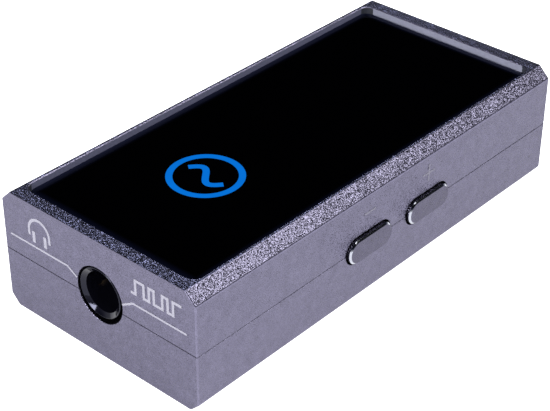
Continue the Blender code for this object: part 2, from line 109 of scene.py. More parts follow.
# Fine shape that only the looks need
EDGE = 0.13  # rounding of the housing's outer edges
SPLIT_EDGE = 0.2  # share of EDGE along the line where the shells meet
TOP_EDGE = 0.3  # share of EDGE round the top
SPLIT_GAP = 0.055
SPLIT_GROOVE = 0.35  # depth of the groove between the shells
FLARE = 0.03  # chamfer round each opening
INSIDE_CORNER = 0.3
POST_HALF = 1.6  # half the width of the posts that take the screws
POST_INTO_WALL = 0.45  # how far the lower posts reach into the walls
INK = 0.012  # how far a print stands proud of its face, and how deep it goes
GLASS_INSET = 0.04
GLASS_BEVEL = 0.08
GLASS_BEVEL_DROP = 0.03
EDGE_SHEEN_BORDER = 1.0  # width of the border painted navy round the glass, a painted reflection of its bevelled edge
RECESS_EDGE = 0.08  # cut chamfer round the recess
STRAIGHT = 0.99  # least share of a wall's normal along one axis
CAP_CHAMFER = 0.15  # cut and polished, at 45 degrees
CAP_EASE = 0.02  # softens the cap chamfer's inner edge
FLANGE_DEPTH = 0.6  # of the wider back of a cap, which stays inside the wall
DOME_SHEET = 0.08
DOME_STEPS = 8
SCREW_SHANK = 0.8
SCREW_PITCH = 0.35
THREAD_DEPTH = 0.12

# Prints, marks and the lit symbol. Places on the jack's end are measured from the middle of the jack's hole.
SYMBOL_RADIUS = 3.5
SYMBOL_LINE = 0.62
SYMBOL_SINK = 0.02  # how far its pieces go into the glass
WAVE_REACH = 2.1
WAVE_CREST = 0.85
WAVE_STEPS = 40
PICTOGRAM_LINE = 0.28
GUIDE_LINE = 0.2
MARK_LINE = 0.17
MARK_ARM = 0.9
MARK_RISE = 3.21  # from the line between the shells
MARK_SHIFT = 0.07  # from the middle of the button
PULSE_RUNS = (0.55, 0.95, 0.6, 0.55, 0.95, 0.6, 0.6, 0.95)
HEADPHONES_PLACE = (-7.2, 2.83)
HEADPHONES_RADIUS = 1.27
LEFT_GUIDE_RISE = 1.18
RIGHT_GUIDE_RISE = 1.19

# How the surfaces reflect
GRAZING_TINT = (0.6, 0.6, 0.6, 1.0)  # the dye keeps the metal from brightening at grazing angles
COATED_GLASS_IOR = 1.11
JACK_PLASTIC_IOR = 1.3
JACK_PLASTIC_TINT = (0.7, 0.72, 1.0, 1.0)


def box_of(node):
    """A node's lowest and highest corners in millimetres."""
    low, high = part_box(node)
    return low / MM, high / MM


def middle(node):
    low, high = box_of(node)
    return (low + high) / 2


# Outlines: points (u, v) that run once round a shape


def arc(centre, radius, start, end, steps):
    """Points of an arc between two angles in degrees, both ends included."""
    angles = [math.radians(start + (end - start) * i / steps) for i in range(steps + 1)]
    return [(centre[0] + radius * math.cos(a), centre[1] + radius * math.sin(a)) for a in angles]


def circle(centre, radius, sides=64):
    return arc(centre, radius, 0, 360, sides)[:-1]


def rectangle(low_u, high_u, low_v, high_v):
    return [(low_u, low_v), (high_u, low_v), (high_u, high_v), (low_u, high_v)]


def rounded_rectangle(half_u, half_v, radius, steps=10, centre=(0, 0)):
    points = []
    for turn, (side_u, side_v) in enumerate([(1, 1), (-1, 1), (-1, -1), (1, -1)]):
        corner = (centre[0] + side_u * (half_u - radius), centre[1] + side_v * (half_v - radius))
        points += arc(corner, radius, 90 * turn, 90 * turn + 90, steps)
    return points


def stadium(centre, length, height, steps=24):
    """A slot outline, with its long side along u and full round ends."""
    radius = height / 2
    reach = length / 2 - radius
    right = arc((centre[0] + reach, centre[1]), radius, -90, 90, steps)
    left = arc((centre[0] - reach, centre[1]), radius, 90, 270, steps)
    return right + left


def stroke(points, width):
    """The outline of a line of even width through the points, with mitred corners."""
    sides = ([], [])
    for i, point in enumerate(points):
        here = Vector(point)
        runs = []
        if i > 0:
            runs.append((here - Vector(points[i - 1])).normalized())
        if i < len(points) - 1:
            runs.append((Vector(points[i + 1]) - here).normalized())
        normals = [Vector((-run.y, run.x)) for run in runs]
        across = sum(normals, Vector((0, 0))).normalized()
        across *= width / 2 / across.dot(normals[0])
        sides[0].append(tuple(here + across))
        sides[1].append(tuple(here - across))
    return sides[0] + sides[1][::-1]


# Solids


def spots(axis, along, outline):
    return {
        "X": [(along, u, v) for u, v in outline],
        "Y": [(u, along, v) for u, v in outline],
        "Z": [(u, v, along) for u, v in outline],
    }[axis]


def add_loft(bm, axis, sections):
    """Adds a solid through outlines of equal point counts, each given as (place along the axis, outline)."""
    rings = [[bm.verts.new(Vector(p) * MM) for p in spots(axis, *section)] for section in sections]
    faces = [bm.faces.new(rings[0]), bm.faces.new(rings[-1][::-1])]
    for ring, following in zip(rings, rings[1:]):
        for i in range(len(ring)):
            j = (i + 1) % len(ring)
            faces.append(bm.faces.new((ring[i], ring[j], following[j], following[i])))
    return faces


def link(name, bm):
    bm.normal_update()
    bmesh.ops.recalc_face_normals(bm, faces=bm.faces)
    mesh = bpy.data.meshes.new(name)
    bm.to_mesh(mesh)
    bm.free()
    obj = bpy.data.objects.new(name, mesh)
    bpy.context.scene.collection.objects.link(obj)
    return obj


def loft(name, axis, sections):
    bm = bmesh.new()
    add_loft(bm, axis, sections)
    return link(name, bm)


def prism(name, axis, low, high, outline):
    return loft(name, axis, [(low, outline), (high, outline)])


def turned(name, axis, centre, profile, sides=64):
    """A solid turned about the axis through the centre, from points (radius, place along the axis)."""
    bm = bmesh.new()
    verts = [bm.verts.new(Vector((radius, 0, along)) * MM) for radius, along in profile]
    edges = [bm.edges.new(pair) for pair in zip(verts, verts[1:])]
    around = {"cent": (0, 0, 0), "axis": (0, 0, 1), "angle": 2 * math.pi}
    bmesh.ops.spin(bm, geom=verts + edges, steps=sides, use_merge=True, **around)
    bmesh.ops.remove_doubles(bm, verts=bm.verts, dist=1e-7)
    turns = {
        "X": Matrix(((0, 0, 1), (1, 0, 0), (0, 1, 0))),
        "Y": Matrix(((0, 1, 0), (0, 0, 1), (1, 0, 0))),
        "Z": Matrix.Identity(3),
    }
    bm.transform(Matrix.Translation(Vector(centre) * MM) @ turns[axis].to_4x4())
    return link(name, bm)


def boolean(obj, operation, *others):
    for other in others:
        step = obj.modifiers.new(other.name, "BOOLEAN")
        step.operation = operation
        step.object = other
        other.hide_render = True


def carve(obj, *cutters):
    boolean(obj, "DIFFERENCE", *cutters)


def join(obj, *pieces):
    boolean(obj, "UNION", *pieces)


def paint(obj, *materials):
    """Gives an object its materials. It happens before a cut whose faces have their own."""
    for material in materials:
        obj.data.materials.append(material)


def paint_cut(cutter, materials, choose):
    """Gives a cutter the cut object's materials, in their order, and lets choose(normal) pick each face's."""
    paint(cutter, *materials)
    for polygon in cutter.data.polygons:
        polygon.material_index = materials.index(choose(polygon.normal))


def settle(obj, sharp=35):
    """Turns an object's modifiers into its mesh, smooth except at edges over that angle in degrees."""
    graph = bpy.context.evaluated_depsgraph_get()
    mesh = bpy.data.meshes.new_from_object(obj.evaluated_get(graph))
    obj.modifiers.clear()
    obj.data = mesh
    mesh.shade_smooth()
    mesh.set_sharp_from_angle(angle=math.radians(sharp))
    weights = obj.modifiers.new("flat faces stay flat", "WEIGHTED_NORMAL")
    weights.keep_sharp = True
    return obj


def round_edges(obj, width, segments=3, weigh=None, angle=20, material=-1):
    """Bevels the edges sharper than an angle. weigh(low, high) gives an edge's share of the width.
    material is the index that the rounded edges take."""
    bevel = obj.modifiers.new("rounded edges", "BEVEL")
    bevel.width = width * MM
    bevel.segments = segments
    bevel.use_clamp_overlap = True
    bevel.material = material
    if weigh is None:
        bevel.limit_method = "ANGLE"
        bevel.angle_limit = math.radians(angle)
        return
    bevel.limit_method = "WEIGHT"
    weights = obj.data.attributes.new("bevel_weight_edge", "FLOAT", "EDGE")
    for edge in obj.data.edges:
        ends = [obj.data.vertices[i].co / MM for i in edge.vertices]
        weights.data[edge.index].value = weigh(*ends)


def finish(obj, material, body=HOUSING, replaced=()):
    """Gives a piece its place in the frame, and its material unless it has one."""
    if material:
        paint(obj, material)
    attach(obj, body)
    if replaced:
        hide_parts(*replaced)
    return obj


# Materials


class Nodes:
    """A small helper that adds shader nodes and links them."""

    def __init__(self, name):
        self.material = bpy.data.materials.new(name)
        self.material.use_nodes = True
        self.tree = self.material.node_tree
        self.shader = self.tree.nodes["Principled BSDF"]

    def add(self, kind, inputs=None, **settings):
        node = self.tree.nodes.new(f"ShaderNode{kind}")
        for key, value in settings.items():
            setattr(node, key, value)
        for key, value in (inputs or {}).items():
            if isinstance(value, bpy.types.NodeSocket):
                self.tree.links.new(value, node.inputs[key])
            else:
                node.inputs[key].default_value = value
        return node

    def set(self, **values):
        for key, value in values.items():
            self.shader.inputs[key.replace("_", " ").title()].default_value = value

    def feed(self, socket, output):
        self.tree.links.new(output, self.shader.inputs[socket])

    def place(self):
        return self.add("TexCoord").outputs["Object"]

    def noise(self, size, detail=2.0, roughness=0.5, place=None):
        """Noise whose features are about this size in millimetres."""
        inputs = {"Vector": place or self.place(), "Scale": 1 / (size * MM)}
        inputs |= {"Detail": detail, "Roughness": roughness}
        return self.add("TexNoise", inputs).outputs["Fac"]

    def ramp(self, value, stops):
        """A colour ramp from (position, colour) pairs."""
        node = self.add("ValToRGB", {"Fac": value})
        elements = node.color_ramp.elements
        while len(elements) < len(stops):
            elements.new(0.5)
        for element, (position, colour) in zip(elements, stops):
            element.position = position
            element.color = (*colour, 1.0)
        return node.outputs["Color"]

    def spread(self, value, low, high):
        """Stretches 0..1 to low..high."""
        return self.add("MapRange", {"Value": value, "To Min": low, "To Max": high}).outputs["Result"]

    def bump(self, height, depth, strength=1.0, normal=None):
        """Relief of this depth in millimetres."""
        inputs = {"Height": height, "Distance": depth * MM, "Strength": strength}
        if normal:
            inputs["Normal"] = normal
        return self.add("Bump", inputs).outputs["Normal"]


def facets(nodes, size, tilt):
    """A normal that tips at random from grain to grain, as a blasted surface's does."""
    grains = nodes.add("TexVoronoi", {"Vector": nodes.place(), "Scale": 1 / (size * MM)})
    centred = nodes.add("VectorMath", {0: grains.outputs["Color"], 1: (0.5, 0.5, 0.5)}, operation="SUBTRACT")
    tipped = nodes.add("VectorMath", {0: centred.outputs[0], "Scale": tilt}, operation="SCALE")
    facing = nodes.add("NewGeometry").outputs["Normal"]
    added = nodes.add("VectorMath", {0: facing, 1: tipped.outputs[0]}, operation="ADD")
    return nodes.add("VectorMath", {0: added.outputs[0]}, operation="NORMALIZE").outputs[0]


def shade(colour, factor):
    return tuple(channel * factor for channel in colour)


def blasted_metal(name, colour, tilt=0.5, grain=0.06, roughness=0.27):
    """Bead-blasted and anodised aluminium, with sparkling grains and soft mottling."""
    nodes = Nodes(name)
    nodes.set(metallic=1.0, specular_tint=GRAZING_TINT)
    place = nodes.place()
    tones = [(0.3, shade(colour, 0.9)), (0.7, shade(colour, 1.08))]
    soft = nodes.ramp(nodes.noise(0.9, 4.0, 0.6, place), tones)
    specks = [(0.25, (0.74,) * 3), (0.75, (1.24,) * 3)]
    grit = nodes.ramp(nodes.noise(grain, 1.0, 0.5, place), specks)
    mixed = nodes.add("Mix", {"Factor": 1.0, 6: soft, 7: grit}, data_type="RGBA", blend_type="MULTIPLY")
    nodes.feed("Base Color", mixed.outputs[2])
    rough = nodes.spread(nodes.noise(grain * 2, 2.0, 0.5, place), roughness - 0.07, roughness + 0.07)
    nodes.feed("Roughness", rough)
    pits = nodes.bump(nodes.noise(grain, 2.0, 0.5, place), 0.004, 0.5, facets(nodes, grain, tilt))
    nodes.feed("Normal", pits)
    return nodes.material


def polished_metal(name, colour, roughness=0.12, metallic=1.0):
    """Cut metal with faint tool marks. A dull cut is less metallic."""
    nodes = Nodes(name)
    nodes.set(metallic=metallic)
    place = nodes.place()
    tones = [(0.35, shade(colour, 0.92)), (0.65, shade(colour, 1.05))]
    nodes.feed("Base Color", nodes.ramp(nodes.noise(0.25, 2.0, 0.5, place), tones))
    nodes.feed("Roughness", nodes.spread(nodes.noise(0.1, 3.0, 0.5, place), roughness * 0.7, roughness * 1.3))
    nodes.feed("Normal", nodes.bump(nodes.noise(0.12, 2.0, 0.5, place), 0.002, 0.4))
    return nodes.material


def black_glass(name, colour, border):
    """Glass printed black behind, with a navy border painted round it as the reflection along its edge: a
    deep gloss with the least haze.
    """
    nodes = Nodes(name)
    haze = nodes.noise(6.0, 3.0, 0.55)
    place = nodes.add("SeparateXYZ", {"Vector": nodes.place()})
    reaches = []
    for axis, half in (("X", glass_half_x), ("Y", glass_half_y)):
        off_centre = nodes.add("Math", {0: place.outputs[axis]}, operation="ABSOLUTE").outputs[0]
        inner = (half - EDGE_SHEEN_BORDER) * MM
        band = {"Value": off_centre, "From Min": inner, "From Max": half * MM}
        reaches.append(nodes.add("MapRange", band).outputs["Result"])
    outermost = nodes.add("Math", {0: reaches[0], 1: reaches[1]}, operation="MAXIMUM").outputs[0]
    # how far into the painted edge reflection each point lies
    sheen_share = nodes.add("Math", {0: outermost, 1: 1.5}, operation="POWER").outputs[0]
    ink_tone = nodes.ramp(haze, [(0.3, shade(colour, 0.85)), (0.7, shade(colour, 1.15))])
    mixed = nodes.add("Mix", {"Factor": sheen_share, 6: ink_tone, 7: (*border, 1.0)}, data_type="RGBA")
    nodes.feed("Base Color", mixed.outputs[2])
    nodes.feed("Roughness", nodes.spread(haze, 0.02, 0.05))
    nodes.shader.inputs["IOR"].default_value = COATED_GLASS_IOR
    return nodes.material


def plastic(name, colour, roughness, grain=0.08, depth=0.004, variation=0.12):
    """Moulded plastic with a fine texture."""
    nodes = Nodes(name)
    place = nodes.place()
    tones = [(0.3, shade(colour, 1 - variation)), (0.7, shade(colour, 1 + variation))]
    nodes.feed("Base Color", nodes.ramp(nodes.noise(0.7, 3.0, 0.5, place), tones))
    grit = nodes.noise(grain, 3.0, 0.6, place)
    nodes.feed("Roughness", nodes.spread(grit, max(roughness - 0.06, 0.02), roughness + 0.08))
    nodes.feed("Normal", nodes.bump(grit, depth, 0.5))
    return nodes.material


def set_reflection(material, ior, tint):
    """Sets how strongly a material reflects, and the tint that its reflections take."""
    sockets = material.node_tree.nodes["Principled BSDF"].inputs
    sockets["IOR"].default_value = ior
    sockets["Specular Tint"].default_value = tint


def glow(name, colour, strength):
    """A lit film: flat colour with the least unevenness from the LED behind it."""
    nodes = Nodes(name)
    nodes.set(roughness=0.08, base_color=(*shade(colour, 0.1), 1.0), emission_strength=strength)
    tones = [(0.25, shade(colour, 0.93)), (0.75, shade(colour, 1.05))]
    nodes.feed("Emission Color", nodes.ramp(nodes.noise(2.2, 2.0, 0.5), tones))
    return nodes.material


def ink(name, colour):
    """Printed ink on the blasted metal, which shows the grain through it."""
    nodes = Nodes(name)
    place = nodes.place()
    worn = nodes.noise(0.12, 3.0, 0.6, place)
    nodes.feed("Base Color", nodes.ramp(worn, [(0.3, shade(colour, 0.8)), (0.65, colour)]))
    nodes.set(roughness=0.55, metallic=0.25)
    nodes.feed("Normal", nodes.bump(worn, 0.008, 0.5))
    return nodes.material


BODY = (0.105, 0.0995, 0.1465)
body_metal = blasted_metal("blasted body metal", BODY)
# The rounded edges: brighter for wear, and also painted brighter as a highlight, a line of light along the
# crests.
edge_wear_and_highlight_metal = blasted_metal("edge worn and painted brighter as a highlight", shade(BODY, 1.2), tilt=0.15, roughness=0.28)
cap_metal = blasted_metal("blasted cap metal", shade(BODY, 0.72))
cut_metal = polished_metal("cut and polished edge", (0.3, 0.31, 0.36), 0.12)
# The recess walls are one milled finish: the end walls take a copy painted lighter, as light falling on them,
# and the corners a copy painted dark, as shade.
wall_metal = polished_metal("milled recess side wall", (0.1, 0.103, 0.17), 0.6, 0.0)
end_wall_painted_light_metal = polished_metal("milled recess end wall painted lighter as light", (0.2, 0.205, 0.275), 0.6, 0.0)
corner_painted_shade_metal = polished_metal("milled recess corner painted dark as shade", (0.02, 0.022, 0.032), 0.5, 0.0)
# The cut edge round the recess is painted brighter than the body, a painted highlight for the line of light
# caught along it.
recess_edge_highlight_metal = blasted_metal("recess edge painted bright as a highlight", shade(BODY, 1.15), roughness=0.36)
glass_half_x, glass_half_y = box_of("cover_glass")[1].xy
# the last colour is the navy painted round the edge as its reflection
glass = black_glass("black cover glass", (0.0001, 0.0001, 0.0002), (0.004, 0.005, 0.015))
symbol_light = glow("lit blue symbol", (0.0015, 0.14, 0.58), 1.0)
white_ink = ink("pale printed ink", (0.225, 0.22, 0.272))
mark_ink = ink("faint engraved mark", (0.124, 0.12, 0.168))
jack_plastic = plastic("glossy black plastic", (0.002, 0.002, 0.004), 0.08, 0.2, 0.001)
set_reflection(jack_plastic, JACK_PLASTIC_IOR, JACK_PLASTIC_TINT)
black_plastic = plastic("matt black plastic", (0.012, 0.012, 0.014), 0.45)
chip_epoxy = plastic("chip epoxy", (0.014, 0.014, 0.015), 0.5, 0.05, 0.006)
foam = plastic("black foam", (0.01, 0.01, 0.01), 0.9, 0.15, 0.05)
clear_acrylic = plastic("clear acrylic", (0.7, 0.78, 0.86), 0.12, 0.3, 0.001, 0.03)
ochre_epoxy = plastic("ochre epoxy", (0.6, 0.36, 0.04), 0.4, 0.1, 0.004)
ferrite = plastic("pressed ferrite", (0.03, 0.03, 0.032), 0.7, 0.06, 0.012)
led_resin = plastic("led resin", (0.85, 0.83, 0.6), 0.25, 0.2, 0.001, 0.05)
gap_pad = plastic("thermal gap pad", (0.2, 0.27, 0.36), 0.8, 0.12, 0.02)
nickel = polished_metal("nickel plate", (0.62, 0.61, 0.58), 0.22)
gold = polished_metal("gold plate", (0.78, 0.55, 0.22), 0.2)


def solder_mask(name):
    """A green board with copper tracks that show through the mask."""
    nodes = Nodes(name)
    place = nodes.place()
    stretched = nodes.add("Mapping", {"Vector": place, "Scale": (1.0, 0.18, 1.0)}).outputs["Vector"]
    tracks = nodes.add("TexVoronoi", {"Vector": stretched, "Scale": 900.0}, feature="DISTANCE_TO_EDGE")
    line = nodes.ramp(tracks.outputs["Distance"], [(0.05, (1, 1, 1)), (0.09, (0, 0, 0))])
    greens = [(0.3, (0.006, 0.03, 0.02)), (0.7, (0.01, 0.042, 0.028))]
    mask = nodes.ramp(nodes.noise(3.0, 3.0, 0.5, place), greens)
    copper = (0.02, 0.085, 0.045, 1.0)
    mixed = nodes.add("Mix", {"Factor": line, 6: mask, 7: copper}, data_type="RGBA")
    nodes.feed("Base Color", mixed.outputs[2])
    nodes.feed("Roughness", nodes.spread(nodes.noise(0.5, 2.0, 0.5, place), 0.28, 0.4))
    nodes.feed("Normal", nodes.bump(line, 0.03, 0.6))
    return nodes.material


# Housing

lower_high = box_of("lower_shell")[1]
upper_low, upper_high = box_of("upper_shell")
half_width = upper_high.x
half_length = upper_high.y
height = upper_high.z
split = middle("usb_socket_shell").z
glass_low, glass_high = box_of("cover_glass")
jack_low, jack_high = box_of("jack_housing")
jack_x = middle("jack_housing").x
jack_z = middle("optical_lens").z
usb_low, usb_high = box_of("usb_socket_shell")
buttons = {name: middle(f"{name}_cap").y for name in ("volume_up", "volume_down")}
screws = [f"housing_screw_{number}" for number in range(1, 5)]
recess_half_x = glass_high.x + RECESS_GAP
recess_half_y = glass_high.y + RECESS_END_GAP
recess_floor = box_of("glass_gasket")[0].z - 0.01


def flared(name, axis, inner, face, outline_of, outward=1):
    """A cutter from inside a wall to beyond its face, which leaves a fine chamfer at the face.
    outline_of(extra) gives the outline grown by that much."""
    past = 1.0
    sections = [
        (inner, outline_of(0)),
        (face - outward * FLARE, outline_of(0)),
        (face + outward * past, outline_of(FLARE + past)),
    ]
    return loft(name, axis, sections if outward > 0 else sections[::-1])


def wall_openings():
    """Cutters for the jack, the USB socket and the two button slots."""
    inner = half_length - 2 * WALL
    usb_width = usb_high.x - usb_low.x + 2 * USB_CLEARANCE
    usb_height = usb_high.z - usb_low.z + 2 * USB_CLEARANCE

    def jack_outline(extra):
        return circle((jack_x, jack_z), JACK_HOLE + extra, 96)

    def usb_outline(extra):
        return stadium((0, split), usb_width + 2 * extra, usb_height + 2 * extra)

    cutters = [
        flared("jack_cut", "Y", -inner, -half_length, jack_outline, outward=-1),
        flared("usb_cut", "Y", inner, half_length, usb_outline),
    ]
    for name, y in buttons.items():

        def slot_outline(extra, y=y):
            return stadium((y, split), SLOT_LENGTH + 2 * extra, SLOT_HEIGHT + 2 * extra)

        inner_x = half_width - 2 * WALL
        cutters.append(flared(f"{name}_slot_cut", "X", inner_x, half_width, slot_outline))
    return cutters


def screw_cuts():
    """Countersunk holes in the underside, a little wider than the screws' heads."""
    cuts = []
    for name in screws:
        low, high = box_of(name)
        centre = middle(name)
        head = (high.x - low.x) / 2
        slope = (head - SCREW_HOLE + 0.1) / (SCREW_CONE_TOP - SCREW_HEAD_TOP)
        mouth = SCREW_HOLE + slope * (SCREW_CONE_TOP + 1)
        top = high.z + 0.3
        profile = [(0, -1), (mouth, -1), (SCREW_HOLE, SCREW_CONE_TOP), (SCREW_HOLE, top), (0, top)]
        cuts.append(turned(f"{name}_cut", "Z", (centre.x, centre.y, 0), profile, 48))
    return cuts


def by_level(edge_z):
    """Weighs an edge's rounding: fine round the top and at the line where the shells meet, full elsewhere."""

    def weigh(a, b):
        for level, share in ((edge_z, SPLIT_EDGE), (height, TOP_EDGE)):
            if max(abs(a.z - level), abs(b.z - level)) < 0.01:
                return share
        return 1.0

    return weigh


def inset_box(name, low, high, inset):
    outline = rounded_rectangle(half_width - inset, half_length - inset, INSIDE_CORNER)
    return prism(name, "Z", low, high, outline)


def make_lower_shell(cutters, holes):
    edge_z = split - SPLIT_GAP / 2
    section = [(half_width - FOOT_CHAMFER, 0), (half_width, FOOT_CHAMFER), (half_width, edge_z)]
    section += [(-x, z) for x, z in reversed(section)]
    shell = prism("lower_shell_body", "Y", -half_length, half_length, section)
    paint(shell, body_metal, edge_wear_and_highlight_metal)
    # the rounded edges take slot 1, the worn metal that is also painted brighter as a highlight
    round_edges(shell, EDGE, weigh=by_level(edge_z), material=1)
    lip = inset_box("lip_body", FLOOR_TOP + 1, lower_high.z, WALL - 0.5)
    step = inset_box("groove_floor", FLOOR_TOP + 1, split + SPLIT_GAP / 2 - 0.01, SPLIT_GROOVE)
    join(shell, lip, step)
    carve(shell, inset_box("lower_inside", FLOOR_TOP, height, WALL))
    post_top = box_of("circuit_board")[0].z - 0.05
    for node in screws:
        centre = middle(node)
        side_x, side_y = math.copysign(1, centre.x), math.copysign(1, centre.y)
        reach_x = sorted((centre.x - POST_HALF * side_x, side_x * (half_width - WALL + POST_INTO_WALL)))
        reach_y = sorted((centre.y - POST_HALF * side_y, side_y * (half_length - WALL + POST_INTO_WALL)))
        outline = rectangle(*reach_x, *reach_y)
        join(shell, prism(f"{node}_post", "Z", FLOOR_TOP / 2, post_top, outline))
    carve(shell, *holes, *cutters)
    return finish(settle(shell), None, replaced=["lower_shell"])


def recess_material(normal):
    """The material of a face of the recess: its long walls take the milled wall's tone, its end walls a copy
    painted lighter as light falling on them, and its corners a copy painted dark as shade.
    """
    if abs(normal.x) > STRAIGHT:
        return wall_metal
    return end_wall_painted_light_metal if abs(normal.y) > STRAIGHT else corner_painted_shade_metal


def make_upper_shell(cutters, holes):
    edge_z = split + SPLIT_GAP / 2
    shoulder = height - TOP_CHAMFER_DOWN
    section = [(half_width, edge_z), (half_width, shoulder), (half_width - TOP_CHAMFER_IN, height)]
    section += [(-x, z) for x, z in reversed(section)]
    shell = prism("upper_shell_body", "Y", -half_length, half_length, section)
    shell_materials = [body_metal, edge_wear_and_highlight_metal, recess_edge_highlight_metal, wall_metal, end_wall_painted_light_metal, corner_painted_shade_metal]
    paint(shell, *shell_materials)
    # the rounded edges take slot 1, the worn metal that is also painted brighter as a highlight
    round_edges(shell, EDGE, weigh=by_level(edge_z), material=1)
    inside = inset_box("upper_inside", 0, CEILING_BOTTOM, WALL)
    rebate = inset_box("rebate", 0, lower_high.z + 0.05, WALL - 0.55)

    def recess_outline(extra):
        return rounded_rectangle(recess_half_x + extra, recess_half_y + extra, RECESS_CORNER + extra, 16)

    recess = prism("recess_cut", "Z", recess_floor, height + 1, recess_outline(-RECESS_EDGE))
    edge_sections = [(height + extra, recess_outline(extra)) for extra in (-0.4, 0.6)]
    recess_edge = loft("recess_edge_cut", "Z", edge_sections)
    # the cut edge round the recess takes the painted highlight
    paint_cut(recess_edge, shell_materials, lambda normal: recess_edge_highlight_metal)
    # the recess's faces take the milled wall, its copy painted light on the end walls, and its copy painted
    # shade in the corners
    paint_cut(recess, shell_materials, recess_material)
    guide_low, guide_high = box_of("light_guide")
    window_outline = rectangle(guide_low.x - 0.1, guide_high.x + 0.1, guide_low.y - 0.1, guide_high.y + 0.1)
    window = prism("window_cut", "Z", CEILING_BOTTOM - 1, recess_floor + 1, window_outline)
    carve(shell, inside, rebate, recess, recess_edge, window)
    post_top = (CEILING_BOTTOM + recess_floor) / 2
    for node in screws:
        outline = rounded_rectangle(POST_HALF, POST_HALF, INSIDE_CORNER, 6, middle(node).xy)
        join(shell, prism(f"{node}_upper_post", "Z", upper_low.z, post_top, outline))
    carve(shell, *holes, *cutters)
    return finish(settle(shell), None, replaced=["upper_shell"])


def make_cover_glass():
    radius = RECESS_CORNER - RECESS_GAP

    def section(along, inset):
        gone = GLASS_INSET + inset
        return along, rounded_rectangle(glass_high.x - gone, glass_high.y - gone, radius - gone, 16)

    eased = 0.04
    sections = [section(glass_low.z, eased), section(glass_low.z + eased, 0)]
    for degrees in range(0, 91, 15):
        turn = math.radians(degrees)
        drop = GLASS_BEVEL_DROP * (1 - math.sin(turn))
        sections.append(section(glass_high.z - drop, GLASS_BEVEL * (1 - math.cos(turn))))
    pane = loft("cover_glass_pane", "Z", sections)
    return finish(settle(pane, 50), glass, replaced=["cover_glass"])


def make_symbol():
    """The lit symbol, a generic one: one wave inside a ring."""
    centre = middle("light_guide").xy
    low, high = glass_high.z - SYMBOL_SINK, glass_high.z + INK
    ring = prism("lit_symbol_ring", "Z", low, high, circle(centre, SYMBOL_RADIUS, 96))
    hole = prism("lit_symbol_hole", "Z", low - 1, high + 1, circle(centre, SYMBOL_RADIUS - SYMBOL_LINE, 96))
    carve(ring, hole)
    finish(settle(ring), symbol_light)
    wave = []
    for i in range(WAVE_STEPS + 1):
        share = 2 * i / WAVE_STEPS - 1
        wave.append((centre.x + WAVE_REACH * share, centre.y - WAVE_CREST * math.sin(math.pi * share)))
    line = prism("lit_symbol_wave", "Z", low, high, stroke(wave, SYMBOL_LINE))
    finish(settle(line, 60), symbol_light)


# Prints and marks


def printed(name, axis, face, outlines, material):
    """Thin plates of ink on a face of the housing."""
    bm = bmesh.new()
    for outline in outlines:
        add_loft(bm, axis, [(face - INK, outline), (face + INK, outline)])
    finish(link(name, bm), material)


def on_front(name, outlines):
    printed(name, "Y", -half_length, outlines, white_ink)


def on_side(name, outlines):
    printed(name, "X", half_width, outlines, mark_ink)


def make_headphones_print():
    """A generic headphones pictogram over the left guide line."""
    x, z = jack_x + HEADPHONES_PLACE[0], jack_z + HEADPHONES_PLACE[1]
    band = arc((x, z), HEADPHONES_RADIUS, 0, 180, 32)
    band = [(x + HEADPHONES_RADIUS, z - 0.6), *band, (x - HEADPHONES_RADIUS, z - 0.6)]
    outlines = [stroke(band, PICTOGRAM_LINE)]
    for side in (-1, 1):
        outlines.append(rounded_rectangle(0.19, 0.58, 0.12, 4, (x + side * 0.71, z - 0.62)))
    on_front("headphones_print", outlines)


def make_pulse_print():
    """A generic train of square pulses, for the digital output."""
    low, high = jack_z + 2.34, jack_z + 3.67
    x = jack_x + 3.85
    points = [(x, low)]
    level = low
    for run in PULSE_RUNS:
        x += run
        points.append((x, level))
        level = high if level == low else low
        points.append((x, level))
    points.pop()
    on_front("pulse_print", [stroke(points, PICTOGRAM_LINE)])


def make_guide_lines():
    """Two lines that run from the jack's hole to the sides, under the pictograms."""
    z = jack_z + LEFT_GUIDE_RISE
    left = [(-half_width + 0.85, z), (jack_x - 3.83, z), (jack_x - 2.71, jack_z + 0.54)]
    z = jack_z + RIGHT_GUIDE_RISE
    right = [(jack_x + 2.72, jack_z + 0.42), (jack_x + 4.0, z), (half_width - 1.06, z)]
    on_front("guide_lines_print", [stroke(left, GUIDE_LINE), stroke(right, GUIDE_LINE)])


def make_button_marks():
    """A minus and a plus, each above its button."""
    level = split + MARK_RISE
    minus_y, plus_y = buttons["volume_down"] + MARK_SHIFT, buttons["volume_up"] + MARK_SHIFT
    minus_half = 0.75
    on_side("minus_mark", [stroke([(minus_y - minus_half, level), (minus_y + minus_half, level)], MARK_LINE)])
    inner = MARK_LINE / 2
    plus = []
    for quarter in range(4):
        turn = Matrix.Rotation(-math.pi / 2 * quarter, 2)
        for corner in ((inner, MARK_ARM), (inner, inner), (MARK_ARM, inner)):
            plus.append(tuple(turn @ Vector(corner) + Vector((plus_y, level))))
    on_side("plus_mark", [plus])


# Buttons


